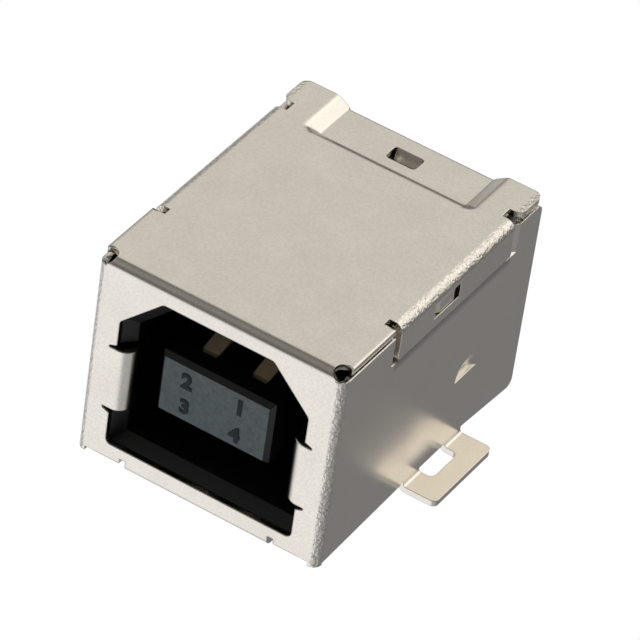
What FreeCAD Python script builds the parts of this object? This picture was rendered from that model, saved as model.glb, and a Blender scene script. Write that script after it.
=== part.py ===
import FreeCAD, Part

import math
import os

import Sketcher

# Surface-mount, right-angle USB type B socket.
# The board plane is z = 0, x = 0 is the plane of symmetry and the plug comes in along +Y.
# Every piece is drawn with the front face at y = 0; at the end all are moved forward together,
# so that the origin is under the middle of the whole part.  All sizes are millimetres.

DRIVING_SIZES = {
    # Folded shell
    "sheet_gauge": 0.3,
    "bend_radius": 0.45,
    "body_width": 12.2,
    "body_height": 10.75,
    "body_depth": 15.7,
    "corner_foot": 0.2,
    "face_foot": 0.42,
    "skirt_front": 0.3,
    "skirt_middle": 0.46,
    "skirt_rear": 0.58,
    "wall_corner": 0.4,
    # Opening for the plug, by the metal that the front face keeps around it
    "opening_side": 1.4,
    "opening_base": 1.18,
    "opening_margin": 0.99,
    "opening_chamfer": 1.97,
    "opening_round": 0.3,
    # Spring fingers at the sides of the opening
    "finger_above_base": 1.87,
    "finger_below_corner": 1.54,
    "slit_end": 0.1,
    "slit_mouth": 0.32,
    "slit_reach": 0.36,
    "finger_roll": 0.7,
    "finger_squeeze": 0.2,
    "finger_bow": 1.5,
    "finger_lead": 1.8,
    "finger_length": 5.2,
    "finger_flare": 0.45,
    # Lid
    "lid_inset": 0.05,
    "slot_start": 3.95,
    "slot_width": 0.4,
    "slot_depth": 0.6,
    "flange_drop": 1.85,
    "flange_proud": 0.05,
    "flange_round": 0.1,
    "notch_width": 0.6,
    "ear_length": 1.8,
    "ear_round": 0.4,
    "relief_radius": 0.4,
    "relief_inset": 0.33,
    "relief_setback": 0.35,
    # Drawn recess in the rear of the lid, with the barb
    "recess_depth": 0.38,
    "recess_margin": 1.8,
    "recess_side_slope": 0.6,
    "recess_length": 2.85,
    "recess_front_slope": 0.35,
    "recess_corner": 0.35,
    "recess_toe": 0.2,
    "recess_crest": 0.6,
    "barb_window_width": 1.5,
    "barb_window_length": 0.9,
    "barb_window_round": 0.2,
    "barb_margin": 0.95,
    "barb_width": 1.3,
    "barb_drop": 0.6,
    "barb_advance": 0.2,
    # Joggle of the side walls behind the flanges, and the latch
    "joggle_slope": 0.12,
    "joggle_fade": 0.55,
    "joggle_gap": 0.05,
    "joggle_below": 0.02,
    "latch_start": 7.05,
    "latch_length": 2.0,
    "latch_above_edge": 0.5,
    "latch_height": 0.75,
    "latch_tongue": 1.6,
    "latch_knee": 0.5,
    "latch_lift": 0.3,
    "latch_play": 0.05,
    # Half-moon lances that hold the insulator down
    "lance_setback": 4.7,
    "lance_radius": 0.9,
    "lance_floor_radius": 0.4,
    "lance_low": 3.85,
    "lance_depth": 0.16,
    # Flap under the insulator
    "flap_width": 7.2,
    "flap_length": 6.5,
    "flap_clearance": 0.05,
    "notch_relief": 0.3,
    "notch_rise": 0.25,
    # Solder tabs of the shell
    "tab_start": 6.8,
    "tab_length": 4.65,
    "tab_reach": 1.65,
    "tab_relief": 0.2,
    "tab_round": 0.3,
    "tab_window_start": 8.1,
    "tab_window_length": 2.05,
    "tab_window_reach": 0.7,
    "tab_window_rise": 0.46,
    "tab_window_round": 0.3,
    # Insulator
    "fit_gap": 0.05,
    "cavity_step_side": 0.475,
    "cavity_step_low": 0.37,
    "cavity_step_high": 0.43,
    "cavity_chamfer": 1.9,
    "cavity_floor": 9.5,
    "cavity_lead": 0.6,
    "block_setback": 1.5,
    "cheek_length": 1.1,
    "hood_height": 1.6,
    "leg_room": 0.6,
    "edge_chamfer": 0.3,
    "finger_room": 0.2,
    "channel_end_room": 1.0,
    "channel_depth": 0.75,
    # Tongue
    "tongue_width": 5.6,
    "tongue_height": 3.18,
    "tongue_offset": 0.06,
    "tongue_tip": 0.46,
    "tongue_lead": 0.25,
    "tongue_taper": 0.2,
    "groove_start": 1.55,
    "groove_depth": 0.35,
    # Contacts
    "contact_pitch": 2.5,
    "contact_gauge": 0.25,
    "blade_width": 0.8,
    "blade_tip": 1.9,
    "blade_crest": 2.9,
    "blade_root": 5.4,
    "blade_rise": 0.3,
    "leg_standoff": 0.15,
    "leg_width": 0.6,
    "leg_drop": 0.85,
    "leg_slant": 1.1,
    "leg_bias": 0.35,
    "foot_length": 2.5,
    "contact_bend": 0.4,
    "rib_height": 3.2,
    "rib_length": 0.7,
    "rib_width": 1.0,
    # How far a form reaches into what it joins, and how far a cut starts outside the part
    "lap": 0.2,
    "outside": 1.0,
}

document = FreeCAD.newDocument("usb_b_socket")
sheet = document.addObject("Spreadsheet::Sheet", "sizes")
for row, (word, number) in enumerate(DRIVING_SIZES.items(), start=1):
    sheet.set(f"A{row}", word)
    sheet.set(f"B{row}", str(number))
    sheet.setAlias(f"B{row}", word)
document.recompute()


def size(word):
    """The number in the cell with this alias."""
    return float(sheet.get(word))


def minus(expression):
    """The same distance on the other side."""
    return f"-({expression})"


# Places that several pieces share, as expressions of the sheet
HALF = "sizes.body_width / 2"
TOP = "sizes.body_height"
REAR = "sizes.body_depth"
GAUGE = "sizes.sheet_gauge"
BEND = "sizes.bend_radius"
WALL_TOP = f"({TOP} - {BEND})"
LID_HALF = f"({HALF} - sizes.lid_inset)"
FLANGE_OUT = f"({HALF} + sizes.flange_proud)"
FLANGE_START = "(sizes.slot_start + sizes.slot_width)"
EAR_START = f"({REAR} - sizes.ear_length)"
FLANGE_END = f"({EAR_START} - sizes.notch_width)"
FLANGE_LENGTH = f"({FLANGE_END} - {FLANGE_START})"
FLANGE_LOW = f"({TOP} - sizes.flange_drop)"
JOGGLE = f"({GAUGE} + sizes.joggle_gap - sizes.flange_proud)"
OPENING_HALF = f"({HALF} - sizes.opening_side)"
OPENING_TOP = f"({TOP} - sizes.opening_margin)"
OPENING_CORNER = f"({OPENING_TOP} - sizes.opening_chamfer)"
FINGER_LOW = "(sizes.opening_base + sizes.finger_above_base)"
FINGER_HIGH = f"({OPENING_CORNER} - sizes.finger_below_corner)"
FINGER_CREST = "(sizes.finger_length - sizes.finger_lead)"
FLAP_TOP = f"(sizes.flap_clearance + {GAUGE})"
FLAP_HALF = "sizes.flap_width / 2"
TAB_END = "(sizes.tab_start + sizes.tab_length)"
RECESS_FLOOR = f"({TOP} - sizes.recess_depth)"
LATCH_LOW = f"({FLANGE_LOW} + sizes.latch_above_edge)"
LANCE_MIDDLE = f"({REAR} - sizes.lance_setback)"
LAP = "sizes.lap"
OUTSIDE = "sizes.outside"
BEND_INSIDE = f"{BEND} - {GAUGE}"
SIDES = (("right", ""), ("left", "-"))
# Metal pressed inwards is added on the wall's inner side and taken away on its outer side
PRESS_STEPS = (("in", "AdditiveLoft", f"({HALF} - {GAUGE})"), ("out", "SubtractiveLoft", HALF))

# The main ones as numbers, for finding the edges to round
HALF_AT = size("body_width") / 2
TOP_AT = size("body_height")
REAR_AT = size("body_depth")
GAUGE_AT = size("sheet_gauge")
BEND_AT = size("bend_radius")


def new_body(name):
    """An empty body that carries the name of its piece."""
    body = document.addObject("PartDesign::Body", name)
    body.Label = name
    return body


def plane_of(body, role):
    """One of the body's own origin planes."""
    return next(item for item in body.Origin.OriginFeatures if item.Role == role)


def sketch_on(body, name, role, lift="0"):
    """A sketch parallel to an origin plane, at a distance along its normal."""
    sketch = body.newObject("Sketcher::SketchObject", name)
    sketch.AttachmentSupport = [(plane_of(body, role), "")]
    sketch.MapMode = "FlatFace"
    sketch.setExpression("AttachmentOffset.Base.z", lift)
    return sketch


def plan(body, name, height="0"):
    """A sketch seen from above: across is X, up is Y."""
    return sketch_on(body, name, "XY_Plane", height)


def front(body, name, depth="0"):
    """A sketch seen from the front: across is X, up is Z."""
    return sketch_on(body, name, "XZ_Plane", minus(depth))


def side(body, name, distance="0"):
    """A sketch seen from the right: across is Y, up is Z."""
    return sketch_on(body, name, "YZ_Plane", distance)


def outline(sketch, corners):
    """A closed straight-sided outline; each corner is a pair of expressions."""
    first = sketch.GeometryCount
    count = len(corners)
    turns = [2 * math.pi * number / count for number in range(count)]
    spots = [FreeCAD.Vector(math.cos(turn), math.sin(turn), 0) for turn in turns]
    for number in range(count):
        sketch.addGeometry(Part.LineSegment(spots[number], spots[(number + 1) % count]), False)
    for number, corner in enumerate(corners):
        line = first + number
        following = first + (number + 1) % count
        sketch.addConstraint(Sketcher.Constraint("Coincident", line, 2, following, 1))
        for kind, expression in zip(("DistanceX", "DistanceY"), corner):
            place = sketch.addConstraint(Sketcher.Constraint(kind, -1, 1, line, 1, 1.0))
            sketch.setExpression(f"Constraints[{place}]", expression)
    return sketch


def box_outline(sketch, left, right, low, high):
    """A rectangle between four expressions."""
    return outline(sketch, [(left, low), (right, low), (right, high), (left, high)])


def both_sides(sketch, corners):
    """An outline and its mirror image across x = 0."""
    outline(sketch, corners)
    outline(sketch, [(minus(across), up) for across, up in reversed(corners)])
    return sketch


def whole(corners):
    """A symmetric outline from its right half, given from front to back."""
    return corners + [(minus(across), up) for across, up in reversed(corners)]


def extrude(body, kind, name, sketch, length, backwards, midplane):
    """A pad or pocket as long as the expression says, or through everything if there is none."""
    feature = body.newObject(kind, name)
    feature.Profile = sketch
    if length is None:
        feature.Type = "ThroughAll"
    else:
        feature.setExpression("Length", length)
    feature.Midplane = midplane
    feature.Reversed = backwards
    return feature


def pad(body, name, sketch, length, backwards=False, midplane=False):
    """Add the sketch along its normal, or against it."""
    return extrude(body, "PartDesign::Pad", name, sketch, length, backwards, midplane)


def pocket(body, name, sketch, length=None, backwards=False, midplane=False):
    """Cut the sketch against its normal, or along it, and check that it cut."""
    document.recompute()
    before = body.Shape.Volume
    feature = extrude(body, "PartDesign::Pocket", name, sketch, length, backwards, midplane)
    document.recompute()
    if body.Shape.Volume >= before - 1e-6:
        raise ValueError(f"{name} cuts nothing")
    return feature


def loft(body, kind, name, near, far):
    """A straight loft between two sketches."""
    feature = body.newObject(kind, name)
    feature.Profile = near
    feature.Sections = [far]
    feature.Ruled = True
    return feature


def edges_at(body, axis, places):
    """Names of the body's straight edges along an axis that pass through the places."""
    document.recompute()
    keep = {"x": (1, 2), "y": (0, 2), "z": (0, 1)}[axis]
    along = "xyz".index(axis)
    names = []
    for number, edge in enumerate(body.Shape.Edges, start=1):
        start, end = edge.Vertexes[0].Point, edge.Vertexes[-1].Point
        if abs(start[along] - end[along]) < 1e-3:
            continue
        for place in places:
            gaps = [abs(point[k] - wanted) for point in (start, end) for k, wanted in zip(keep, place)]
            if max(gaps) < 1e-3:
                names.append(f"Edge{number}")
    if not names:
        raise ValueError(f"no edge along {axis} at {places}")
    return names


def round_edges(body, name, radius, axis, places):
    """Round the straight edges along an axis that pass through the places."""
    names, base = edges_at(body, axis, places), body.Tip
    feature = body.newObject("PartDesign::Fillet", name)
    feature.Base = (base, names)
    feature.setExpression("Radius", radius)
    return feature


def mirror_places(places):
    """The places and their mirror images across x = 0."""
    return places + [(-across, other) for across, other in places]


def add_walls_and_face(body):
    """Front face and side walls, bent from one strip."""
    inner = f"{HALF} - {GAUGE}"
    corners = whole([(HALF, "0"), (HALF, REAR), (inner, REAR), (inner, GAUGE)])
    strip = outline(plan(body, "strip_outline", "sizes.corner_foot"), corners)
    pad(body, "strip", strip, f"{WALL_TOP} - sizes.corner_foot")
    round_edges(body, "strip_bends", BEND, "z", mirror_places([(HALF_AT, 0)]))
    inside = mirror_places([(HALF_AT - GAUGE_AT, GAUGE_AT)])
    round_edges(body, "strip_bends_inside", BEND_INSIDE, "z", inside)


def joggle_walls(body):
    """Step the upper part of each wall inwards, so that the lid's flange lies flush."""
    start = "sizes.slot_start"
    low = f"({FLANGE_LOW} - sizes.joggle_below)"
    slope = "sizes.joggle_slope"
    for word, sign in SIDES:
        for step, kind, surface in PRESS_STEPS:
            name = f"joggle_{word}_{step}"
            near = side(body, f"{name}_near", f"{sign}({surface})")
            box_outline(near, start, EAR_START, f"{low} - {slope}", WALL_TOP)
            far = side(body, f"{name}_far", f"{sign}({surface} - {JOGGLE})")
            box_outline(far, f"{start} + {slope}", f"{EAR_START} - sizes.joggle_fade", low, WALL_TOP)
            loft(body, f"PartDesign::{kind}", name, near, far)


def trim_lower_edges(body):
    """Lower edges of the face and of the walls, with room for the flap and the tabs."""
    relief = f"({FLAP_HALF} + sizes.notch_relief)"
    below = minus(OUTSIDE)
    face = outline(front(body, "face_edge"), whole([
        (f"{HALF} - {BEND}", below), (f"{HALF} - {BEND}", "sizes.face_foot"),
        (relief, "sizes.face_foot"), (relief, "sizes.face_foot + sizes.notch_rise"),
    ]))
    pocket(body, "face_edge_cut", face, BEND)
    tab_front = "sizes.tab_start - sizes.tab_relief"
    tab_back = f"{TAB_END} + sizes.tab_relief"
    walls = outline(side(body, "wall_edge"), [
        (BEND, below), (BEND, "sizes.skirt_front"), (tab_front, "sizes.skirt_middle"),
        (tab_front, "sizes.skirt_rear"), (tab_back, "sizes.skirt_rear"),
        (REAR, "sizes.corner_foot"), (f"{REAR} + {OUTSIDE}", below),
    ])
    pocket(body, "wall_edge_cut", walls, None, midplane=True)
    rear_corners = [(REAR_AT, TOP_AT - BEND_AT), (REAR_AT, size("corner_foot"))]
    round_edges(body, "wall_corners", "sizes.wall_corner", "x", rear_corners)


def add_lid_bend(body):
    """The bend from the face into the lid."""
    length = f"({BEND} + {LAP})"
    edge = f"({WALL_TOP} - {LAP})"
    under = f"{TOP} - {GAUGE}"
    profile = outline(side(body, "lid_bend_profile"), [
        ("0", edge), ("0", TOP), (length, TOP), (length, under), (GAUGE, under), (GAUGE, edge),
    ])
    pad(body, "lid_bend", profile, f"2 * ({HALF} - {BEND})", midplane=True)
    round_edges(body, "lid_bend_round", BEND, "x", [(0, TOP_AT)])
    round_edges(body, "lid_bend_round_inside", BEND_INSIDE, "x", [(GAUGE_AT, TOP_AT - GAUGE_AT)])


def add_flap(body):
    """The flap under the insulator, bent from the lower edge of the face."""
    low, end = "sizes.flap_clearance", "sizes.flap_length"
    edge = f"({FLAP_TOP} + {BEND} + {LAP})"
    profile = outline(side(body, "flap_profile"), [
        ("0", edge), ("0", low), (end, low), (end, FLAP_TOP), (GAUGE, FLAP_TOP), (GAUGE, edge),
    ])
    pad(body, "flap", profile, "sizes.flap_width", midplane=True)
    bottom = size("flap_clearance")
    round_edges(body, "flap_round", BEND, "x", [(0, bottom)])
    round_edges(body, "flap_round_inside", BEND_INSIDE, "x", [(GAUGE_AT, bottom + GAUGE_AT)])


def add_lid(body):
    """The lid, with a slot before and a notch behind each flange."""
    bend_line = f"({FLANGE_OUT} - {BEND})"
    slot_floor = f"({LID_HALF} - sizes.slot_depth)"
    plate = outline(plan(body, "lid_outline", TOP), whole([
        (LID_HALF, BEND), (LID_HALF, "sizes.slot_start"), (slot_floor, "sizes.slot_start"),
        (slot_floor, FLANGE_START), (bend_line, FLANGE_START), (bend_line, FLANGE_END),
        (slot_floor, FLANGE_END), (slot_floor, EAR_START), (LID_HALF, EAR_START), (LID_HALF, REAR),
    ]))
    pad(body, "lid", plate, GAUGE, backwards=True)
    half = HALF_AT - size("lid_inset")
    corners = mirror_places([(half, REAR_AT - size("ear_length")), (half, REAR_AT)])
    round_edges(body, "ear_corners", "sizes.ear_round", "z", corners)


def add_flanges(body):
    """Side flanges of the lid, bent down into the joggle of the walls."""
    inner = f"({FLANGE_OUT} - {GAUGE})"
    start = f"({FLANGE_OUT} - {BEND} - {LAP})"
    under = f"{TOP} - {GAUGE}"
    profile = both_sides(front(body, "flange_profile", FLANGE_START), [
        (start, TOP), (FLANGE_OUT, TOP), (FLANGE_OUT, FLANGE_LOW),
        (inner, FLANGE_LOW), (inner, under), (start, under),
    ])
    pad(body, "flanges", profile, FLANGE_LENGTH, backwards=True)
    out, low = HALF_AT + size("flange_proud"), TOP_AT - size("flange_drop")
    first = size("slot_start") + size("slot_width")
    last = REAR_AT - size("ear_length") - size("notch_width")
    round_edges(body, "flange_bends", BEND, "y", mirror_places([(out, TOP_AT)]))
    inside = mirror_places([(out - GAUGE_AT, TOP_AT - GAUGE_AT)])
    round_edges(body, "flange_bends_inside", BEND_INSIDE, "y", inside)
    round_edges(body, "flange_corners", "sizes.flange_round", "x", [(first, low), (last, low)])


def draw_recess(body):
    """The drawn recess in the rear of the lid, open at the rear edge, with soft slopes."""
    half, slope = f"({HALF} - sizes.recess_margin)", "sizes.recess_side_slope"
    start = f"({REAR} - sizes.recess_length)"
    under, over = ("under", "AdditiveLoft", f"({TOP} - {GAUGE})"), ("over", "SubtractiveLoft", TOP)
    for step, kind, surface in (under, over):
        wide = plan(body, f"recess_{step}_wide", surface)
        box_outline(wide, minus(half), half, start, REAR)
        deep = plan(body, f"recess_{step}_deep", f"{surface} - sizes.recess_depth")
        inner = f"({half} - {slope})"
        box_outline(deep, minus(inner), inner, f"{start} + sizes.recess_front_slope", REAR)
        loft(body, f"PartDesign::{kind}", f"recess_{step}", wide, deep)
    crest = HALF_AT - size("recess_margin")
    floor = crest - size("recess_side_slope")
    ledge = REAR_AT - size("recess_length")
    toe = ledge + size("recess_front_slope")
    low = TOP_AT - size("recess_depth")
    soften(body, "recess_corners", "sizes.recess_corner", [((crest, ledge, TOP_AT), (floor, toe, low))])
    soften(body, "recess_toes", "sizes.recess_toe", [((floor, REAR_AT, low), (floor, None, low))])
    soften(body, "recess_crests", "sizes.recess_crest", [((crest, REAR_AT, TOP_AT), (crest, None, TOP_AT))])


def soften(body, name, radius, runs):
    """Round the edges that start and end at these points, on both sides of x = 0."""
    document.recompute()
    names = []
    for number, edge in enumerate(body.Shape.Edges, start=1):
        ends = [(abs(vertex.X), vertex.Y, vertex.Z) for vertex in (edge.Vertexes[0], edge.Vertexes[-1])]
        for run in runs:
            if any(all(fits(end, wanted) for end, wanted in zip(order, run)) for order in (ends, ends[::-1])):
                names.append(f"Edge{number}")
    if not names:
        raise ValueError(f"{name} finds no edge")
    base = body.Tip
    feature = body.newObject("PartDesign::Fillet", name)
    feature.Base = (base, names)
    feature.setExpression("Radius", radius)


def fits(point, wanted):
    """Whether a point has the wanted coordinates, where None is any."""
    return all(place is None or abs(given - place) < 1e-3 for given, place in zip(point, wanted))


def add_barb(body):
    """A window in the recess, whose rear edge carries a barb bent into the insulator."""
    end = f"({REAR} - sizes.barb_margin)"
    start = f"({end} - sizes.barb_window_length)"
    half = "sizes.barb_window_width / 2"
    window = box_outline(plan(body, "barb_window", TOP), minus(half), half, start, end)
    pocket(body, "barb_window_cut", window, f"sizes.recess_depth + {GAUGE} + {LAP}")
    right, rear = size("barb_window_width") / 2, REAR_AT - size("barb_margin")
    corners = mirror_places([(right, rear - size("barb_window_length")), (right, rear)])
    round_edges(body, "barb_window_corners", "sizes.barb_window_round", "z", corners)
    low = f"({RECESS_FLOOR} - sizes.barb_drop)"
    tip = f"({end} - sizes.barb_advance)"
    profile = outline(side(body, "barb_profile"), [
        (f"{end} + {LAP}", RECESS_FLOOR), (end, RECESS_FLOOR), (f"{tip} - {GAUGE} / 2", low),
        (f"{tip} + {GAUGE} / 2", low), (f"{end} + {LAP}", f"{RECESS_FLOOR} - {GAUGE}"),
    ])
    pad(body, "barb", profile, "sizes.barb_width", midplane=True)


def cut_corner_reliefs(body):
    """Round reliefs where face, wall and lid meet."""
    for word, sign in SIDES:
        ball = body.newObject("PartDesign::SubtractiveSphere", f"corner_relief_{word}")
        ball.setExpression("Radius", "sizes.relief_radius")
        ball.setExpression("AttachmentOffset.Base.x", f"{sign}({HALF} - sizes.relief_inset)")
        ball.setExpression("AttachmentOffset.Base.y", "sizes.relief_setback")
        ball.setExpression("AttachmentOffset.Base.z", f"{TOP} - {GAUGE} / 2")
        ball.AttachmentSupport = [(plane_of(body, "XY_Plane"), "")]
        ball.MapMode = "FlatFace"


def d_outline(sketch, half, base, top, chamfer):
    """The plug's outline: a rectangle whose upper corners are cut off."""
    corners = [(half, base), (half, f"{top} - {chamfer}"), (f"{half} - {chamfer}", top)]
    return outline(sketch, whole(corners))


def cut_opening(body):
    """The D-shaped opening in the face."""
    profile = front(body, "opening_outline", minus(OUTSIDE))
    d_outline(profile, OPENING_HALF, "sizes.opening_base", OPENING_TOP, "sizes.opening_chamfer")
    pocket(body, "opening", profile, f"{OUTSIDE} + {GAUGE}")
    half, chamfer = HALF_AT - size("opening_side"), size("opening_chamfer")
    top = TOP_AT - size("opening_margin")
    corners = mirror_places([(half, size("opening_base")), (half, top - chamfer), (half - chamfer, top)])
    round_edges(body, "opening_corners", "sizes.opening_round", "y", corners)


def add_fingers(body):
    """Spring fingers, rolled in from the side edges of the opening between two slits."""
    inside = f"{OPENING_HALF} - {LAP}"
    tip = f"({OPENING_HALF} + sizes.slit_reach)"
    slits = front(body, "slit_outline", minus(OUTSIDE))
    for edge, sign in ((FINGER_HIGH, "+"), (FINGER_LOW, "-")):
        both_sides(slits, [(inside, edge), (tip, edge), (tip, f"{edge} {sign} sizes.slit_end"),
                           (inside, f"{edge} {sign} sizes.slit_mouth")])
    pocket(body, "slits", slits, f"{OUTSIDE} + {GAUGE}")
    face = f"({OPENING_HALF} - sizes.finger_roll)"
    squeeze = f"({face} - sizes.finger_squeeze)"
    flare = f"({squeeze} + sizes.finger_flare)"
    profile = both_sides(plan(body, "finger_profile", FINGER_LOW), [
        (tip, "0"), (face, "0"), (squeeze, FINGER_CREST), (flare, "sizes.finger_length"),
        (f"{flare} + {GAUGE}", "sizes.finger_length"), (f"{squeeze} + {GAUGE}", FINGER_CREST),
        (f"{face} + {GAUGE}", GAUGE), (tip, GAUGE),
    ])
    pad(body, "fingers", profile, f"{FINGER_HIGH} - {FINGER_LOW}")
    roll = HALF_AT - size("opening_side") - size("finger_roll")
    bow = (roll - size("finger_squeeze"), size("finger_length") - size("finger_lead"))
    round_edges(body, "finger_rolls", "sizes.finger_roll", "z", mirror_places([(roll, 0)]))
    inner = mirror_places([(roll + GAUGE_AT, GAUGE_AT)])
    round_edges(body, "finger_rolls_inside", f"sizes.finger_roll - {GAUGE}", "z", inner)
    round_edges(body, "finger_bows", "sizes.finger_bow", "z", mirror_places([bow]))


def add_tabs(body):
    """Solder tabs, bent outwards from the lower edges of the walls."""
    inner = f"({HALF} - {GAUGE})"
    edge = f"(sizes.skirt_rear + {LAP})"
    reach = f"({HALF} + sizes.tab_reach)"
    profile = both_sides(front(body, "tab_profile", "sizes.tab_start"), [
        (inner, edge), (inner, "0"), (reach, "0"), (reach, GAUGE), (HALF, GAUGE), (HALF, edge),
    ])
    pad(body, "tabs", profile, "sizes.tab_length", backwards=True)
    start, out = size("tab_start"), HALF_AT + size("tab_reach")
    corners = mirror_places([(out, start), (out, start + size("tab_length"))])
    round_edges(body, "tab_bends", BEND, "y", mirror_places([(HALF_AT - GAUGE_AT, 0)]))
    round_edges(body, "tab_bends_inside", BEND_INSIDE, "y", mirror_places([(HALF_AT, GAUGE_AT)]))
    round_edges(body, "tab_corners", "sizes.tab_round", "z", corners)
    window = plan(body, "tab_window", "0")
    begin, right = "sizes.tab_window_start", f"({HALF} + sizes.tab_window_reach)"
    finish = f"({begin} + sizes.tab_window_length)"
    left = f"{inner} - {LAP}"
    both_sides(window, [(left, begin), (right, begin), (right, finish), (left, finish)])
    pocket(body, "tab_window_cut", window, "sizes.tab_window_rise", backwards=True)
    start, out = size("tab_window_start"), HALF_AT + size("tab_window_reach")
    corners = mirror_places([(out, start), (out, start + size("tab_window_length"))])
    round_edges(body, "tab_window_corners", "sizes.tab_window_round", "z", corners)


def add_latches(body):
    """Windows in the flanges with a lanced tongue of the wall in each."""
    start = "sizes.latch_start"
    high = f"({LATCH_LOW} + sizes.latch_height)"
    window = side(body, "latch_window")
    box_outline(window, start, f"{start} + sizes.latch_length", LATCH_LOW, high)
    pocket(body, "latch_window_cut", window, None, midplane=True)
    outer = f"({HALF} - {JOGGLE})"
    lifted = f"({outer} + sizes.latch_lift)"
    tip, root = f"({start} + sizes.latch_tongue)", f"{start} - {LAP}"
    knee = f"({start} + sizes.latch_knee)"
    profile = both_sides(plan(body, "latch_profile", f"{LATCH_LOW} + sizes.latch_play"), [
        (outer, root), (outer, start), (lifted, knee), (lifted, tip), (f"{lifted} - {GAUGE}", tip),
        (f"{lifted} - {GAUGE}", knee), (f"{outer} - {GAUGE}", start), (f"{outer} - {GAUGE}", root),
    ])
    pad(body, "latches", profile, "sizes.latch_height - 2 * sizes.latch_play")


def half_moon(sketch, radius, facets=9):
    """The upper half of a many-sided disc that stands on the lance's lower edge."""
    corners = []
    for number in range(facets + 1):
        turn = 180 * number / facets
        corners.append((f"{LANCE_MIDDLE} + {radius} * cos({turn} deg)",
                        f"sizes.lance_low + {radius} * sin({turn} deg)"))
    return outline(sketch, corners)


def press_lances(body):
    """Half-moon lances, half-sheared out of each wall and pressed inwards above the shear."""
    radius = "sizes.lance_radius"
    for word, sign in SIDES:
        for step, kind, surface in PRESS_STEPS:
            name = f"lance_{word}_{step}"
            near = half_moon(side(body, f"{name}_near", f"{sign}{surface}"), radius)
            pressed = f"{sign}({surface} - sizes.lance_depth)"
            far = half_moon(side(body, f"{name}_far", pressed), "sizes.lance_floor_radius")
            loft(body, f"PartDesign::{kind}", name, near, far)


def make_shell():
    """The folded shell, one piece of plated sheet."""
    body = new_body("shell")
    add_walls_and_face(body)
    joggle_walls(body)
    trim_lower_edges(body)
    add_lid_bend(body)
    add_flap(body)
    add_lid(body)
    add_flanges(body)
    draw_recess(body)
    add_barb(body)
    cut_corner_reliefs(body)
    cut_opening(body)
    add_fingers(body)
    add_tabs(body)
    add_latches(body)
    press_lances(body)
    return body


# Places inside the shell
INSIDE = f"({HALF} - {GAUGE} - sizes.fit_gap)"
JOGGLED_INSIDE = f"({HALF} - {GAUGE} - {JOGGLE} - sizes.fit_gap)"
SHOULDER = f"({FLANGE_LOW} - sizes.joggle_below - sizes.joggle_slope - {GAUGE})"
BLOCK_TOP = f"({TOP} - {GAUGE} - sizes.fit_gap)"
BLOCK_REAR = f"({REAR} - sizes.block_setback)"
HOOD_TOP = f"({BLOCK_TOP} - sizes.recess_depth)"
OUTER_LEG = "(3 * sizes.contact_pitch / 2)"
CHEEK = f"({OUTER_LEG} + sizes.leg_width / 2 + sizes.leg_room)"
CAVITY_HALF = f"({OPENING_HALF} - sizes.cavity_step_side)"
CAVITY_BASE = "(sizes.opening_base + sizes.cavity_step_low)"
CAVITY_TOP = f"({OPENING_TOP} - sizes.cavity_step_high)"
TONGUE_MIDDLE = f"(({CAVITY_BASE} + {CAVITY_TOP}) / 2 - sizes.tongue_offset)"
TONGUE_HALF = "(sizes.tongue_height / 2)"
BLADE_HALF = "sizes.blade_width / 2"
GROOVE_HALF = f"({BLADE_HALF} + sizes.fit_gap)"
GROOVE_FLOOR = f"({TONGUE_HALF} - sizes.groove_depth)"
LEG_FRONT = f"({BLOCK_REAR} + sizes.leg_standoff)"
LEG_BACK = f"({LEG_FRONT} + sizes.contact_gauge)"
TONGUE_MIDDLE_AT = (size("opening_base") + size("cavity_step_low") + TOP_AT - size("opening_margin")
                    - size("cavity_step_high")) / 2 - size("tongue_offset")


def add_block(body):
    """The moulding's outer form: full width below, narrower between the joggles."""
    profile = outline(front(body, "block_outline", GAUGE), whole([
        (INSIDE, FLAP_TOP), (INSIDE, SHOULDER), (JOGGLED_INSIDE, SHOULDER), (JOGGLED_INSIDE, BLOCK_TOP),
    ]))
    pad(body, "block", profile, f"{BLOCK_REAR} + sizes.cheek_length - {GAUGE}", backwards=True)
    inside = HALF_AT - GAUGE_AT - size("fit_gap")
    low, top = size("flap_clearance") + GAUGE_AT, TOP_AT - GAUGE_AT - size("fit_gap")
    names = edges_at(body, "z", mirror_places([(inside, GAUGE_AT)]))
    names += edges_at(body, "x", [(GAUGE_AT, low), (GAUGE_AT, top)])
    base = body.Tip
    chamfer = body.newObject("PartDesign::Chamfer", "block_front_edges")
    chamfer.Base = (base, names)
    chamfer.setExpression("Size", "sizes.edge_chamfer")


def cut_block_rear(body):
    """Under a hood and between cheeks the rear is set back for the contacts' legs, with ribs between."""
    opening = front(body, "rear_outline", BLOCK_REAR)
    box_outline(opening, minus(CHEEK), CHEEK, minus(OUTSIDE), f"{HOOD_TOP} - sizes.hood_height")
    pocket(body, "rear_face", opening, f"sizes.cheek_length + {OUTSIDE}")
    ribs = front(body, "rib_outline", BLOCK_REAR)
    for place in ("-1", "0", "1"):
        middle = f"{place} * sizes.contact_pitch"
        box_outline(ribs, f"{middle} - sizes.rib_width / 2", f"{middle} + sizes.rib_width / 2", FLAP_TOP,
                    f"{FLAP_TOP} + sizes.rib_height")
    pad(body, "ribs", ribs, "sizes.rib_length", backwards=True)
    step = side(body, "recess_room")
    start = f"({REAR} - sizes.recess_length - sizes.fit_gap)"
    box_outline(step, start, f"{REAR} + {OUTSIDE}", HOOD_TOP, f"{TOP} + {OUTSIDE}")
    pocket(body, "recess_room_cut", step, None, midplane=True)
    half, rear = "(sizes.barb_width / 2 + sizes.fit_gap)", f"({REAR} - sizes.barb_margin)"
    room = box_outline(plan(body, "barb_room", HOOD_TOP), minus(half), half,
                       f"{rear} - sizes.barb_window_length", f"{rear} + {LAP} + sizes.fit_gap")
    pocket(body, "barb_room_cut", room, "sizes.barb_drop")


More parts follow.
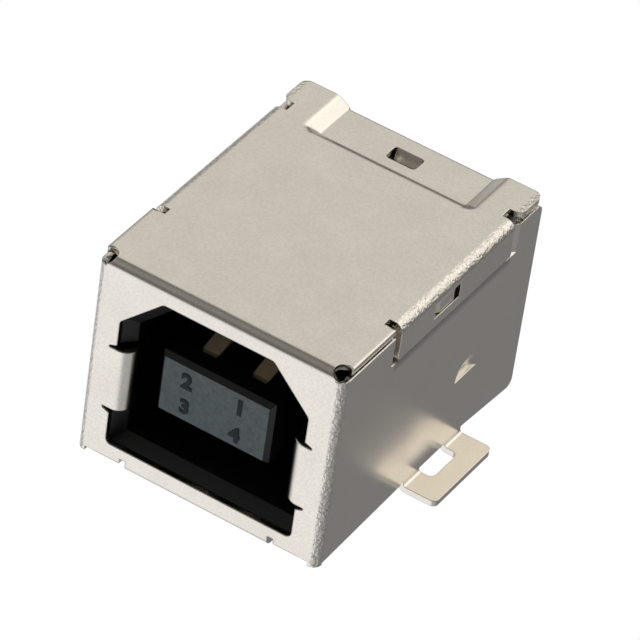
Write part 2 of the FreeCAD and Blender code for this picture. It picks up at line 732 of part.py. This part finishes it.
def cut_cavity(body):
    """The D-shaped cavity for the plug, with a lead-in behind the face."""
    chamfer = "sizes.cavity_chamfer"
    cavity = front(body, "cavity_outline", GAUGE)
    d_outline(cavity, CAVITY_HALF, CAVITY_BASE, CAVITY_TOP, chamfer)
    pocket(body, "cavity", cavity, f"sizes.cavity_floor - {GAUGE}")
    wide = front(body, "lead_wide", GAUGE)
    d_outline(wide, OPENING_HALF, "sizes.opening_base", OPENING_TOP, "sizes.opening_chamfer")
    narrow = front(body, "lead_narrow", f"{GAUGE} + sizes.cavity_lead")
    d_outline(narrow, CAVITY_HALF, CAVITY_BASE, CAVITY_TOP, chamfer)
    loft(body, "PartDesign::SubtractiveLoft", "lead_in", wide, narrow)
    channels = front(body, "channel_outline", GAUGE)
    low, high = f"({FINGER_LOW} - sizes.finger_room)", f"({FINGER_HIGH} + sizes.finger_room)"
    outer, inner = f"({CAVITY_HALF} + sizes.channel_depth)", f"({CAVITY_HALF} - {LAP})"
    both_sides(channels, [(inner, low), (outer, low), (outer, high), (inner, high)])
    pocket(body, "channels", channels, f"sizes.finger_length + sizes.channel_end_room - {GAUGE}")


def add_tongue(body):
    """The tongue that carries the contacts, tapered at its tip."""
    half, taper, middle = "(sizes.tongue_width / 2)", "sizes.tongue_taper", TONGUE_MIDDLE
    low, high = f"{middle} - {TONGUE_HALF}", f"{middle} + {TONGUE_HALF}"
    shoulder = "(sizes.tongue_tip + sizes.tongue_lead)"
    stem = box_outline(front(body, "tongue_outline", shoulder), minus(half), half, low, high)
    pad(body, "tongue", stem, f"sizes.cavity_floor - {shoulder} + {LAP}", backwards=True)
    root = box_outline(front(body, "tongue_shoulder", shoulder), minus(half), half, low, high)
    tip = front(body, "tongue_end", "sizes.tongue_tip")
    box_outline(tip, f"{taper} - {half}", f"{half} - {taper}", f"{low} + {taper}", f"{high} - {taper}")
    loft(body, "PartDesign::AdditiveLoft", "tongue_lead_in", tip, root)


def cut_grooves(body):
    """Grooves along the tongue and slots through the block for the four blades."""
    grooves = front(body, "groove_outline", "sizes.groove_start")
    left = f"sizes.contact_pitch / 2 - {GROOVE_HALF}"
    right = f"sizes.contact_pitch / 2 + {GROOVE_HALF}"
    outside = f"({TONGUE_HALF} + sizes.fit_gap)"
    for near, far in ((GROOVE_FLOOR, outside), (minus(outside), minus(GROOVE_FLOOR))):
        low, high = f"{TONGUE_MIDDLE} + {near}", f"{TONGUE_MIDDLE} + {far}"
        both_sides(grooves, [(left, low), (right, low), (right, high), (left, high)])
    pocket(body, "grooves", grooves, f"{BLOCK_REAR} - sizes.groove_start + {LAP}")


def cut_holds(body):
    """Pockets in the sides, whose lower edges the lances hold down."""
    outer = f"({HALF} - {GAUGE} + {LAP})"
    inner = f"({HALF} - {GAUGE} - sizes.lance_depth - sizes.fit_gap)"
    reach = "(sizes.lance_radius + sizes.fit_gap)"
    start, end = f"{LANCE_MIDDLE} - {reach}", f"{LANCE_MIDDLE} + {reach}"
    rooms = plan(body, "lance_room", "sizes.lance_low")
    both_sides(rooms, [(inner, start), (outer, start), (outer, end), (inner, end)])
    pocket(body, "lance_room_cut", rooms, reach, backwards=True)


def make_insulator():
    """The black moulding with the cavity and the tongue, one piece."""
    body = new_body("insulator")
    add_block(body)
    cut_block_rear(body)
    cut_cavity(body)
    add_tongue(body)
    cut_grooves(body)
    cut_holds(body)
    return body


def add_blade(body, number, blade_at, floor, face, rise):
    """The blade along the tongue, bowed outwards at its crest."""
    blade = side(body, f"blade_{number}", f"{blade_at} - {BLADE_HALF}")
    outline(blade, [
        (LEG_BACK, face), ("sizes.blade_root", face), ("sizes.blade_crest", f"{face} + {rise}"),
        ("sizes.blade_tip", face), ("sizes.blade_tip", floor), ("sizes.blade_crest", f"{floor} + {rise}"),
        ("sizes.blade_root", floor), (LEG_BACK, floor),
    ])
    pad(body, f"blade_pad_{number}", blade, "sizes.blade_width")


def add_leg(body, number, blade_at, foot_at, high, bias):
    """The flat leg behind the block, set over sideways from the blade to the foot."""
    half, narrow = BLADE_HALF, "sizes.leg_width / 2"
    bend = f"({high} - sizes.leg_drop)"
    landing = f"({bend} - sizes.leg_slant)"
    lower = f"(sizes.contact_bend + {LAP})"
    leg = outline(front(body, f"leg_{number}", LEG_FRONT), [
        (f"{blade_at} + {half}", high), (f"{blade_at} + {half}", f"{bend} + {bias}"),
        (f"{foot_at} + {narrow}", f"{landing} + {bias}"), (f"{foot_at} + {narrow}", lower),
        (f"{foot_at} - {narrow}", lower), (f"{foot_at} - {narrow}", f"{landing} - {bias}"),
        (f"{blade_at} - {half}", f"{bend} - {bias}"), (f"{blade_at} - {half}", high),
    ])
    pad(body, f"leg_pad_{number}", leg, "sizes.contact_gauge", backwards=True)


def add_foot(body, number, foot_at):
    """The solder foot, bent backwards at the board."""
    top = f"(sizes.contact_bend + 2 * {LAP})"
    end = f"({LEG_FRONT} + sizes.foot_length)"
    foot = side(body, f"foot_{number}", f"{foot_at} - sizes.leg_width / 2")
    outline(foot, [(LEG_FRONT, top), (LEG_FRONT, "0"), (end, "0"), (end, "sizes.contact_gauge"),
                   (LEG_BACK, "sizes.contact_gauge"), (LEG_BACK, top)])
    pad(body, f"foot_pad_{number}", foot, "sizes.leg_width")


def make_contact(number, sign, upper):
    """One contact: a blade above or below the tongue, a leg behind the block and a solder foot."""
    body = new_body(f"contact_{number}")
    blade_at = f"({sign} * sizes.contact_pitch / 2)"
    way = "" if upper else "-"
    floor = f"({TONGUE_MIDDLE} + {way}{GROOVE_FLOOR})"
    face = f"({floor} + {way}sizes.contact_gauge)"
    add_blade(body, number, blade_at, floor, face, f"{way}sizes.blade_rise")
    gauge = size("contact_gauge")
    groove = size("tongue_height") / 2 - size("groove_depth")
    if upper:
        foot_at, bias = f"({sign} * {OUTER_LEG})", f"{sign} * sizes.leg_bias"
        high, top = face, TONGUE_MIDDLE_AT + groove + gauge
    else:
        foot_at, bias = blade_at, "0"
        high, top = floor, TONGUE_MIDDLE_AT - groove
    add_leg(body, number, blade_at, foot_at, high, bias)
    add_foot(body, number, foot_at)
    heel = REAR_AT - size("block_setback") + size("leg_standoff")
    round_edges(body, f"bend_{number}", "sizes.contact_bend", "x", [(heel + gauge, top)])
    round_edges(body, f"heel_{number}", "sizes.contact_bend", "x", [(heel, 0)])
    inside = "sizes.contact_bend - sizes.contact_gauge"
    round_edges(body, f"heel_inside_{number}", inside, "x", [(heel + gauge, gauge)])
    return body


def centre(bodies):
    """Move every piece by the same half length, from the front face to the feet's ends."""
    for body in bodies:
        body.setExpression("Placement.Base.y", f"-({LEG_FRONT} + sizes.foot_length) / 2")


def check(bodies):
    """Stop at a failed feature or an invalid piece."""
    document.recompute()
    for item in document.Objects:
        if {"Invalid", "Error"} & set(item.State):
            raise ValueError(f"{item.Label} failed")
    for body in bodies:
        if body.Shape.isNull() or not body.Shape.isValid():
            raise ValueError(f"{body.Label} has no valid shape")
        print(body.Label, "solids", len(body.Shape.Solids), "volume", round(body.Shape.Volume, 3))


pieces = [make_shell(), make_insulator()]
for number, sign, upper in ((1, 1, True), (2, -1, True), (3, -1, False), (4, 1, False)):
    pieces.append(make_contact(number, sign, upper))
centre(pieces)
check(pieces)
os.makedirs("parts", exist_ok=True)
for piece in pieces:
    piece.Shape.exportStep(f"parts/{piece.Label}.step")
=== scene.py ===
import logging
import math
from dataclasses import dataclass
from enum import Enum

import bpy
from mathutils import Matrix, Vector


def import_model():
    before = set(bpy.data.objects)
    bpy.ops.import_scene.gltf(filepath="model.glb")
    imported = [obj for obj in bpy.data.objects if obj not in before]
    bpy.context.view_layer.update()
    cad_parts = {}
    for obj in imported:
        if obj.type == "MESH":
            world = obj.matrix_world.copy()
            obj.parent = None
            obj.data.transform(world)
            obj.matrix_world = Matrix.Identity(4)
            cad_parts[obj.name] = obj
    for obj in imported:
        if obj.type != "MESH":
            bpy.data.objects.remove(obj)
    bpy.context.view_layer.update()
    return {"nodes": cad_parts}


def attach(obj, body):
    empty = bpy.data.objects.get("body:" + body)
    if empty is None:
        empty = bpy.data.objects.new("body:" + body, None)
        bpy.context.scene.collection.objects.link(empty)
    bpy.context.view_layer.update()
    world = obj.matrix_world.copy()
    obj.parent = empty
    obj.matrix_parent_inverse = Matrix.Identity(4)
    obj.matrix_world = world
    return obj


# Looks of a surface-mount USB type B socket.  The folded shell, the black insulator and the four
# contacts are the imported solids, dressed here; the pin figures on the tongue are added.

LOG = logging.getLogger("usb_b_socket")
MM = 0.001
FRONT = -8.425  # the front face's place along Y, in millimetres
NOISE_LOW = 0.3  # most of a noise pattern lies between these two values
NOISE_HIGH = 0.7


def linear(code: str) -> tuple[float, float, float, float]:
    """A colour as the shader wants it.

    Args:
        code: an sRGB colour as #rrggbb.

    Returns:
        The linear red, green and blue, and an alpha of one.
    """
    parts = [int(code[place:place + 2], 16) / 255 for place in (1, 3, 5)]
    curve = (part / 12.92 if part <= 0.04045 else ((part + 0.055) / 1.055) ** 2.4 for part in parts)
    red, green, blue = curve
    return red, green, blue, 1.0


def add_node(tree: bpy.types.NodeTree, kind: str, inputs: dict | None = None, **settings) -> bpy.types.Node:
    """Add one shader node with its settings and links.

    Args:
        tree: the node tree of a material or the world.
        kind: the node's type without its ShaderNode prefix.
        inputs: values or sockets for the inputs, by name or number.
        **settings: the node's own properties.

    Returns:
        The new node.
    """
    node = tree.nodes.new("ShaderNode" + kind)
    for name, value in settings.items():
        setattr(node, name, value)
    for name, value in (inputs or {}).items():
        socket = node.inputs[name]
        if isinstance(value, bpy.types.NodeSocket):
            tree.links.new(value, socket)
        else:
            socket.default_value = value
    return node


def new_material(name: str) -> tuple[bpy.types.Material, bpy.types.NodeTree, bpy.types.Node]:
    """A material with only an output node.

    Args:
        name: the material's name.

    Returns:
        The material, its node tree and its output node.
    """
    material = bpy.data.materials.new(name)
    material.use_nodes = True
    material.node_tree.nodes.clear()
    return material, material.node_tree, add_node(material.node_tree, "OutputMaterial")


class Axis(Enum):
    """The outputs of a Separate XYZ node."""

    ACROSS = "X"
    ALONG = "Y"
    UP = "Z"


def rising(tree: bpy.types.NodeTree, value: bpy.types.NodeSocket, low: float,
           high: float) -> bpy.types.NodeSocket:
    """A smooth step from zero at low to one at high, in millimetres.

    Args:
        tree: the node tree.
        value: a length in metres.
        low: where the step starts.
        high: where the step ends; below low, the step falls.

    Returns:
        The output socket.
    """
    ends = {"From Min": min(low, high) * MM, "From Max": max(low, high) * MM,
            "To Min": float(low > high), "To Max": float(low < high)}
    step = add_node(tree, "MapRange", {"Value": value, **ends}, interpolation_type="SMOOTHSTEP")
    return step.outputs["Result"]


def noise(tree: bpy.types.NodeTree, place: bpy.types.NodeSocket, size_mm: float, detail: float,
          **inputs) -> bpy.types.NodeSocket:
    """A noise pattern whose grain has a real size.

    Args:
        tree: the node tree.
        place: the coordinates, in metres.
        size_mm: the size of the grain in millimetres.
        detail: how many finer layers it has.
        **inputs: other inputs of the noise.

    Returns:
        The output socket.
    """
    values = {"Vector": place, "Scale": 1 / (size_mm * MM), "Detail": detail, **inputs}
    return add_node(tree, "TexNoise", values).outputs["Fac"]


def spread(tree: bpy.types.NodeTree, pattern: bpy.types.NodeSocket, low: float,
           high: float) -> bpy.types.NodeSocket:
    """The middle part of a noise pattern, spread from low to high.

    Args:
        tree: the node tree.
        pattern: the noise.
        low: the value at the pattern's low end.
        high: the value at its high end.

    Returns:
        The output socket.
    """
    ends = {"From Min": NOISE_LOW, "From Max": NOISE_HIGH, "To Min": low, "To Max": high}
    return add_node(tree, "MapRange", {"Value": pattern, **ends}).outputs["Result"]


def combine(tree: bpy.types.NodeTree, operation: str, *values) -> bpy.types.NodeSocket:
    """Fold numbers or sockets together with one math operation.

    Args:
        tree: the node tree.
        operation: the Math node's operation.
        *values: numbers or sockets.

    Returns:
        The output socket.
    """
    result = values[0]
    for value in values[1:]:
        result = add_node(tree, "Math", {0: result, 1: value}, operation=operation).outputs[0]
    return result


@dataclass(frozen=True)
class NickelPlate:
    """Satin nickel plating on tempered steel sheet, rolled, blanked and bent.

    The flats show a very fine satin grain, and where the skin is stretched over a tight bend it has a coarse,
    sparkling peel.  Blanked edges are slightly rounded and catch the light, those of the lid most of all, and
    a shadow is painted on the plating in a band under the flanges.
    """

    name: str = "satin_nickel_plate"
    colour: str = "#dfd8cd"
    shade: str = "#d6cfc4"
    roughness: float = 0.24
    roughness_spread: float = 0.03
    grain_mm: float = 0.1
    grain_dark: float = 0.9
    mottle_mm: float = 1.6
    wave_mm: float = 5.0
    wave_height_mm: float = 0.04
    peel_mm: float = 0.13
    peel_height_mm: float = 0.1
    peel_strength: float = 0.9
    shoulder_share: float = 0.7
    # How much the painted shadow in the band under the flanges darkens the plating.
    painted_shadow_grey: float = 0.42
    edge_mm: float = 0.05
    lid_edge_mm: float = 0.2
    mouth_edge_mm: float = 0.11
    flange_low_mm: float = 8.9
    flange_front_mm: float = -4.1
    flange_rear_mm: float = 4.9

    def build(self) -> bpy.types.Material:
        """The plating as a material."""
        material, tree, output = new_material(self.name)
        place = add_node(tree, "TexCoord").outputs["Object"]
        axes = add_node(tree, "SeparateXYZ", {0: place})
        across = add_node(tree, "Math", {0: axes.outputs[Axis.ACROSS.value]}, operation="ABSOLUTE").outputs[0]
        along, up = axes.outputs[Axis.ALONG.value], axes.outputs[Axis.UP.value]
        side = rising(tree, across, 5.6, 5.9)
        shoulder = combine(tree, "MULTIPLY", side, rising(tree, up, 10.2, 10.4))
        behind_slot = rising(tree, along, self.flange_front_mm - 0.2, self.flange_front_mm)
        corner = combine(tree, "MULTIPLY", side, rising(tree, along, FRONT + 0.5, FRONT + 0.3))
        flange = combine(tree, "MULTIPLY", shoulder, behind_slot, self.shoulder_share)
        stretched = combine(tree, "MAXIMUM", corner, flange)
        # Painted shadow: a soft band just under the flanges' lower edge, between their front and rear ends,
        # darkens the plating as if the flange shaded it.
        flange_shadow_band = combine(tree, "MULTIPLY", side, behind_slot,
                        rising(tree, along, self.flange_rear_mm + 0.2, self.flange_rear_mm),
                        rising(tree, up, self.flange_low_mm - 0.7, self.flange_low_mm - 0.2),
                        rising(tree, up, self.flange_low_mm + 0.02, self.flange_low_mm))
        mottle = noise(tree, place, self.mottle_mm, 3.0)
        grain = noise(tree, place, self.grain_mm, 2.0, Roughness=0.6)
        tint = add_node(tree, "Mix", {"Factor": mottle, "A": linear(self.colour), "B": linear(self.shade)},
                        data_type="RGBA")
        # The grain's tone is darkened by the painted shadow under the flanges.
        clear = combine(tree, "SUBTRACT", 1.0, combine(tree, "MULTIPLY", flange_shadow_band, self.painted_shadow_grey))
        tone = combine(tree, "MULTIPLY", spread(tree, grain, self.grain_dark, 1.0), clear)
        satin = add_node(tree, "Mix", {"Factor": 1.0, "A": tint.outputs["Result"], "B": tone},
                         data_type="RGBA", blend_type="MULTIPLY")
        rough = spread(tree, mottle, self.roughness - self.roughness_spread,
                       self.roughness + self.roughness_spread)
        radius = self.edge_radius(tree, across, along, shoulder, behind_slot, flange_shadow_band)
        rounded = add_node(tree, "Bevel", {"Radius": radius}, samples=8)
        waved = add_node(tree, "Bump", {"Height": noise(tree, place, self.wave_mm, 1.0), "Strength": 1.0,
                                        "Distance": self.wave_height_mm * MM,
                                        "Normal": rounded.outputs["Normal"]})
        fine = add_node(tree, "Bump", {"Height": grain, "Strength": 0.15, "Distance": 0.01 * MM,
                                       "Normal": waved.outputs["Normal"]})
        coarse = add_node(tree, "Bump", {"Height": noise(tree, place, self.peel_mm, 2.0),
                                         "Distance": self.peel_height_mm * MM,
                                         "Strength": combine(tree, "MULTIPLY", stretched, self.peel_strength),
                                         "Normal": fine.outputs["Normal"]})
        shader = add_node(tree, "BsdfPrincipled", {"Base Color": satin.outputs["Result"], "Metallic": 1.0,
                                                   "Roughness": rough, "Normal": coarse.outputs["Normal"]})
        tree.links.new(shader.outputs[0], output.inputs[0])
        return material

    def edge_radius(self, tree: bpy.types.NodeTree, across: bpy.types.NodeSocket, along: bpy.types.NodeSocket,
                    shoulder: bpy.types.NodeSocket, behind_slot: bpy.types.NodeSocket,
                    flange_shadow_band: bpy.types.NodeSocket) -> bpy.types.NodeSocket:
        """The rounding of the blanked edges: most at the lid's sides, more at the opening, none where shadow is
        painted under the flange.

        Args:
            tree: the node tree.
            across: the distance from the plane of symmetry.
            along: the place along Y.
            shoulder: one on the top edges of the sides.
            behind_slot: one behind the slot before the flange.
            flange_shadow_band: one in the band under the flange where shadow is painted.

        Returns:
            The radius in metres.
        """
        wide = combine(tree, "MULTIPLY", shoulder, combine(tree, "SUBTRACT", 1.0, behind_slot),
                       (self.lid_edge_mm - self.edge_mm) * MM)
        kept = combine(tree, "MULTIPLY", combine(tree, "SUBTRACT", 1.0, flange_shadow_band), self.edge_mm * MM)
        mouth = combine(tree, "MULTIPLY", rising(tree, across, 5.3, 5.0),
                        rising(tree, along, FRONT + 0.5, FRONT + 0.4), (self.mouth_edge_mm - self.edge_mm) * MM)
        return combine(tree, "ADD", kept, wide, mouth)


@dataclass(frozen=True)
class SparkErodedPlastic:
    """Black glass-filled polyester from a spark-eroded mould.

    It is nearly black in the cavity; the tongue's end, eroded more coarsely, catches the light as a
    mottled grey.
    """

    name: str = "spark_eroded_polyester"
    colour: str = "#0d0d0f"
    end_colour: str = "#7f8c92"
    roughness: float = 0.42
    pits_mm: float = 0.08
    cloud_mm: float = 0.4
    tongue_middle_mm: float = 5.38

    def build(self) -> bpy.types.Material:
        """The moulding's skin as a material."""
        material, tree, output = new_material(self.name)
        place = add_node(tree, "TexCoord").outputs["Object"]
        axes = add_node(tree, "SeparateXYZ", {0: place})
        across = add_node(tree, "Math", {0: axes.outputs[Axis.ACROSS.value]}, operation="ABSOLUTE").outputs[0]
        height = combine(tree, "SUBTRACT", axes.outputs[Axis.UP.value], self.tongue_middle_mm * MM)
        height = add_node(tree, "Math", {0: height}, operation="ABSOLUTE").outputs[0]
        end = combine(tree, "MULTIPLY",
                      rising(tree, axes.outputs[Axis.ALONG.value], FRONT + 0.485, FRONT + 0.47),
                      rising(tree, across, 2.9, 2.6), rising(tree, height, 1.6, 1.4))
        lighter = spread(tree, noise(tree, place, self.cloud_mm, 5.0, Roughness=0.8), 0.6, 1.2)
        tint = add_node(tree, "Mix", {"Factor": combine(tree, "MULTIPLY", end, lighter),
                                      "A": linear(self.colour), "B": linear(self.end_colour)}, data_type="RGBA")
        skin = add_node(tree, "Bump", {"Height": noise(tree, place, self.pits_mm, 2.0), "Strength": 0.35,
                                       "Distance": 0.012 * MM})
        rough = combine(tree, "ADD", self.roughness, combine(tree, "MULTIPLY", end, 0.25))
        shader = add_node(tree, "BsdfPrincipled", {"Base Color": tint.outputs["Result"], "Roughness": rough,
                                                   "Normal": skin.outputs["Normal"]})
        tree.links.new(shader.outputs[0], output.inputs[0])
        return material


@dataclass(frozen=True)
class FlashedBronze:
    """Phosphor bronze strip with a thin gold flash: warm, semi-bright, with fine rolling lines."""

    name: str = "gold_flashed_bronze"
    colour: str = "#f0d9b4"
    roughness: float = 0.5
    metallic: float = 0.4
    line_mm: float = 0.05

    def build(self) -> bpy.types.Material:
        """The strip as a material."""
        material, tree, output = new_material(self.name)
        place = add_node(tree, "TexCoord").outputs["Object"]
        stretched = add_node(tree, "Mapping", {"Vector": place, "Scale": (1.0, 0.05, 0.05)})
        lines = noise(tree, stretched.outputs[0], self.line_mm, 2.0)
        skin = add_node(tree, "Bump", {"Height": lines, "Strength": 0.1, "Distance": 0.004 * MM})
        rough = spread(tree, lines, self.roughness - 0.05, self.roughness + 0.08)
        shader = add_node(tree, "BsdfPrincipled", {"Base Color": linear(self.colour), "Metallic": self.metallic,
                                                   "Roughness": rough, "Normal": skin.outputs["Normal"]})
        tree.links.new(shader.outputs[0], output.inputs[0])
        return material


@dataclass(frozen=True)
class PolishedPlastic:
    """The insulator's polyester on the pin figures: a dull dark grey top, and nearly black flanks."""

    name: str = "polished_polyester"
    colour: str = "#050506"
    roughness: float = 0.3
    specular: float = 0.1
    ripple_mm: float = 0.15

    def build(self) -> bpy.types.Material:
        """The polished skin as a material."""
        material, tree, output = new_material(self.name)
        place = add_node(tree, "TexCoord").outputs["Object"]
        skin = add_node(tree, "Bump", {"Height": noise(tree, place, self.ripple_mm, 2.0), "Strength": 0.2,
                                       "Distance": 0.01 * MM})
        shader = add_node(tree, "BsdfPrincipled", {"Base Color": linear(self.colour),
                                                   "Roughness": self.roughness,
                                                   "Specular IOR Level": self.specular,
                                                   "Normal": skin.outputs["Normal"]})
        tree.links.new(shader.outputs[0], output.inputs[0])
        return material


@dataclass
class DressedNodes:
    """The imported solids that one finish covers."""

    finish: NickelPlate | SparkErodedPlastic | FlashedBronze
    names: tuple[str, ...]

    def dress(self, nodes: dict[str, bpy.types.Object]) -> None:
        """Put the finish on the nodes' material slots.

        Args:
            nodes: the frame's nodes by name.
        """
        material = self.finish.build()
        for name in self.names:
            for slot in nodes[name].material_slots:
                slot.material = material
            LOG.info("dressed %s with %s", name, self.finish.name)


@dataclass
class PinFigures:
    """The pin numbers moulded on the end of the tongue."""

    finish: PolishedPlastic = PolishedPlastic("eroded_figure_top", "#3c4347", 0.5)
    flank_finish: PolishedPlastic = PolishedPlastic()
    face_mm: float = FRONT + 0.46
    relief_mm: float = 0.04
    flank: float = 0.08
    # Figure, middle across, middle up, height
    places: tuple[tuple[str, float, float, float], ...] = (
        ("2", -1.42, 6.05, 0.84),
        ("3", -1.40, 4.70, 0.8),
        ("1", 1.22, 6.09, 0.84),
        ("4", 1.13, 4.6, 0.82),
    )

    def build(self) -> list[bpy.types.Object]:
        """Model the figures and let them ride on the part.

        Returns:
            The pieces.
        """
        top, flank = (finish.build() for finish in (self.finish, self.flank_finish))
        pieces = []
        for text, across, up, height in self.places:
            piece = self.figure(text, across, up, height)
            piece.data.materials.clear()
            piece.data.materials.append(top)
            piece.data.materials.append(flank)
            for face in piece.data.polygons:
                face.material_index = int(face.normal.y > -0.9)
            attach(piece, "root")
            pieces.append(piece)
            LOG.info("added %s", piece.name)
        return pieces

    def figure(self, text: str, across: float, up: float, height: float) -> bpy.types.Object:
        """One raised figure as a mesh with its place in its vertices.

        Args:
            text: the figure.
            across: the middle along X in millimetres.
            up: the middle along Z in millimetres.
            height: the figure's height in millimetres.

        Returns:
            The mesh object.
        """
        bpy.ops.object.select_all(action="DESELECT")
        bpy.ops.object.text_add()
        piece = bpy.context.object
        piece.name = f"pin_figure_{text}"
        piece.data.body = text
        piece.data.size = 1.0
        piece.data.extrude = 0.02
        piece.data.bevel_depth = self.flank
        piece.data.offset = -self.flank * 0.3
        bpy.ops.object.convert(target="MESH")
        corners = [Vector(corner) for corner in piece.bound_box]
        low = Vector(map(min, *corners))
        high = Vector(map(max, *corners))
        scale = height * MM / (high.y - low.y)
        middle = (low + high) / 2
        turn = Matrix.Rotation(math.radians(90), 4, "X")
        lift = Matrix.Translation((across * MM, (self.face_mm - self.relief_mm / 2) * MM, up * MM))
        flat = Matrix.Diagonal((scale, scale, self.relief_mm * MM / (high.z - low.z), 1.0))
        piece.data.transform(lift @ turn @ flat @ Matrix.Translation(-middle))
        return piece


@dataclass(frozen=True)
class LightArea:
    """A broad soft area of the surround that is lighter or darker, by its direction from the part."""

    azimuth: float
    elevation: float
    inner: float
    outer: float
    level: float

    def direction(self) -> Vector:
        """The unit vector towards the middle of the area."""
        az, el = math.radians(self.azimuth), math.radians(self.elevation)
        return Vector((math.sin(az) * math.cos(el), -math.cos(az) * math.cos(el), math.sin(el)))


@dataclass
class Studio:
    """Ground and room that are plain white to the camera only, and one weak lamp.

    The metal reflects a grey room instead, with soft areas fitted to the tones of the photograph.
    """

    ceiling_level: float = 0.14
    table_level: float = 0.6
    # Heights, as the sine of the elevation, between which level and tone pass from table to ceiling
    level_heights: tuple[float, float] = (-0.42, 0.04)
    tone_heights: tuple[float, float] = (-0.12, 0.08)
    # Azimuth as the camera's, elevation, half-angle that is full, half-angle where it ends, level
    areas: tuple[LightArea, ...] = (
        LightArea(204, 46, 14, 36, 0.72),
        LightArea(143, 32, 8, 46, 1.35),
        LightArea(290, 24, 20, 50, 0.35),
        LightArea(335, -42, 20, 44, 0.7),
        LightArea(148, -38, 26, 60, -0.33),
        LightArea(208, -42, 10, 32, 1.0),
        LightArea(230, 2, 6, 18, 0.45),
    )
    key_energy: float = 0.004

    def build(self) -> None:
        """Make the ground, the surround and the lamps."""
        self.make_ground()
        self.make_surround()
        self.make_lamp("key", (70, 60, 110), 60, self.key_energy)

    def make_ground(self) -> None:
        """A wide pale floor under the part, which the camera sees as plain white."""
        bpy.ops.object.select_all(action="DESELECT")
        bpy.ops.mesh.primitive_plane_add(size=0.6, location=(0, 0, -0.02 * MM))
        ground = bpy.context.object
        ground.name = "floor"
        material, tree, output = new_material("white_table")
        ray = add_node(tree, "LightPath").outputs["Is Camera Ray"]
        matt = add_node(tree, "BsdfDiffuse", {"Color": linear("#e8e6e2")})
        plain = add_node(tree, "Emission", {"Color": linear("#ffffff"), "Strength": 1.0})
        mixed = add_node(tree, "MixShader", {0: ray, 1: matt.outputs[0], 2: plain.outputs[0]})
        tree.links.new(mixed.outputs[0], output.inputs[0])
        ground.data.materials.append(material)
        ground.visible_glossy = False

    def make_surround(self) -> None:
        """The world: white to the camera, a grey room with soft areas to all other rays."""
        world = bpy.data.worlds.new("surround")
        bpy.context.scene.world = world
        world.use_nodes = True
        tree = world.node_tree
        tree.nodes.clear()
        output = add_node(tree, "OutputWorld")
        ray = add_node(tree, "LightPath").outputs["Is Camera Ray"]
        towards = add_node(tree, "TexCoord").outputs["Generated"]
        height = add_node(tree, "SeparateXYZ", {0: towards}).outputs["Z"]
        low, high = self.level_heights
        half = add_node(tree, "MapRange", {"Value": height, "From Min": low, "From Max": high,
                                           "To Min": self.table_level, "To Max": self.ceiling_level},
                        interpolation_type="SMOOTHSTEP")
        level = half.outputs["Result"]
        for area in self.areas:
            facing = add_node(tree, "VectorMath", {0: towards, 1: area.direction()}, operation="DOT_PRODUCT")
            glow = add_node(tree, "MapRange", {"Value": facing.outputs["Value"],
                                               "From Min": math.cos(math.radians(area.outer)),
                                               "From Max": math.cos(math.radians(area.inner)),
                                               "To Max": area.level},
                            interpolation_type="SMOOTHSTEP")
            level = combine(tree, "ADD", glow.outputs["Result"], level)
        white = add_node(tree, "Background", {"Color": linear("#ffffff"), "Strength": 1.0})
        low, high = self.tone_heights
        share = add_node(tree, "MapRange", {"Value": height, "From Min": low, "From Max": high})
        tone = add_node(tree, "Mix", {"Factor": share.outputs["Result"], "A": linear("#f8faff"),
                                      "B": linear("#fffefb")}, data_type="RGBA")
        pale = add_node(tree, "Background", {"Color": tone.outputs["Result"], "Strength": level})
        mixed = add_node(tree, "MixShader", {0: ray, 1: pale.outputs[0], 2: white.outputs[0]})
        tree.links.new(mixed.outputs[0], output.inputs[0])

    def make_lamp(self, name: str, place: tuple[float, float, float], width: float, energy: float) -> None:
        """A square area light aimed at the part.

        Args:
            name: the lamp's name.
            place: its place in millimetres.
            width: its side in millimetres.
            energy: its power.
        """
        data = bpy.data.lights.new(name, "AREA")
        data.size = width * MM
        data.energy = energy
        lamp = bpy.data.objects.new(name, data)
        spot = Vector(place) * MM
        lamp.location = spot
        lamp.rotation_mode = "QUATERNION"
        lamp.rotation_quaternion = (Vector((0, 0, 5 * MM)) - spot).to_track_quat("-Z", "Y")
        bpy.context.scene.collection.objects.link(lamp)


@dataclass
class PhotoCamera:
    """The photograph's view: a long lens from the front right and above, slightly rolled."""

    azimuth: float = 27.379
    elevation: float = 39.276
    roll: float = 8.631
    distance_mm: float = 256.507
    focal_pixels: float = 6057.2
    frame_pixels: float = 640.0
    target_mm: tuple[float, float, float] = (0.0, 0.455, 6.3825)
    offset_mm: tuple[float, float] = (0.23647, 1.19134)

    def build(self) -> None:
        """Make the camera and use it."""
        az, el, roll = (math.radians(angle) for angle in (self.azimuth, self.elevation, self.roll))
        back = Vector((math.sin(az) * math.cos(el), -math.cos(az) * math.cos(el), math.sin(el)))
        right = Vector((math.cos(az), math.sin(az), 0.0))
        up = back.cross(right)
        right, up = right * math.cos(roll) + up * math.sin(roll), up * math.cos(roll) - right * math.sin(roll)
        data = bpy.data.cameras.new("photo_camera")
        data.sensor_width = 36.0
        data.lens = self.focal_pixels * data.sensor_width / self.frame_pixels
        data.clip_start, data.clip_end = 0.01, 10.0
        camera = bpy.data.objects.new("photo_camera", data)
        aside, below = self.offset_mm
        spot = Vector(self.target_mm) + back * self.distance_mm - right * aside - up * below
        turn = Matrix((right, up, back)).transposed().to_4x4()
        camera.matrix_world = Matrix.Translation(spot * MM) @ turn
        bpy.context.scene.collection.objects.link(camera)
        bpy.context.scene.camera = camera


def main() -> None:
    """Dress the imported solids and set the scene."""
    logging.basicConfig(level=logging.INFO, format="%(name)s: %(message)s")
    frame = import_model()
    bpy.context.scene.view_settings.view_transform = "Standard"
    DressedNodes(NickelPlate(), ("shell",)).dress(frame["nodes"])
    DressedNodes(SparkErodedPlastic(), ("insulator",)).dress(frame["nodes"])
    DressedNodes(FlashedBronze(), ("contact_1", "contact_2", "contact_3", "contact_4")).dress(frame["nodes"])
    PinFigures().build()
    Studio().build()
    PhotoCamera().build()


if __name__ == "__main__":
    main()
